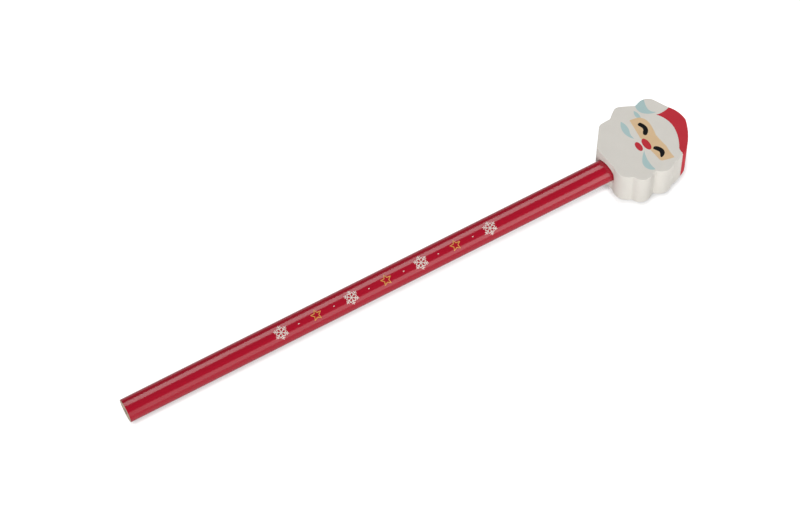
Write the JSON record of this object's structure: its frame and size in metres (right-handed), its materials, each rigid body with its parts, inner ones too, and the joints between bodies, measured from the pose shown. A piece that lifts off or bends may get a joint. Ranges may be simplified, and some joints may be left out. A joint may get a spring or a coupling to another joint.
{
  "type": "pencil with eraser topper",
  "caption": "Round unsharpened pencil in gloss red lacquer, with a thick flat eraser head of through-coloured strips pushed over one end; the head pulls off along the pencil.",
  "frame": {"origin": "centre of the pencil's flat free end", "axes": "+X along the pencil towards the eraser head, +Z out of the head's front face"},
  "size_m": [0.1942, 0.0266, 0.0146],
  "materials": {
    "wood": "sawn",
    "graphite": "satin",
    "lacquer": "gloss",
    "white_eraser": "matte",
    "red_eraser": "matte",
    "blue_eraser": "matte",
    "peach_eraser": "matte",
    "black_eraser": "matte"
  },
  "bodies": {
    "pencil": {"upper_slat": "wood", "lower_slat": "wood", "lead": "graphite", "lacquer_coat": "lacquer"},
    "head": {"beard": "white_eraser", "hat_brim": "white_eraser", "hat_crown": "red_eraser", "bobble": "white_eraser", "bobble_shade": "blue_eraser", "hat_shade": "blue_eraser", "face_panel": "peach_eraser", "left_eye": "black_eraser", "right_eye": "black_eraser", "nose": "red_eraser", "mouth": "red_eraser", "left_whisker": "blue_eraser", "right_whisker": "blue_eraser"}
  },
  "joints": [
    {"name": "head_pull", "type": "slide", "parent": "pencil", "child": "head", "axis": [1, 0, 0], "range_m": [0, 0.012]}
  ]
}
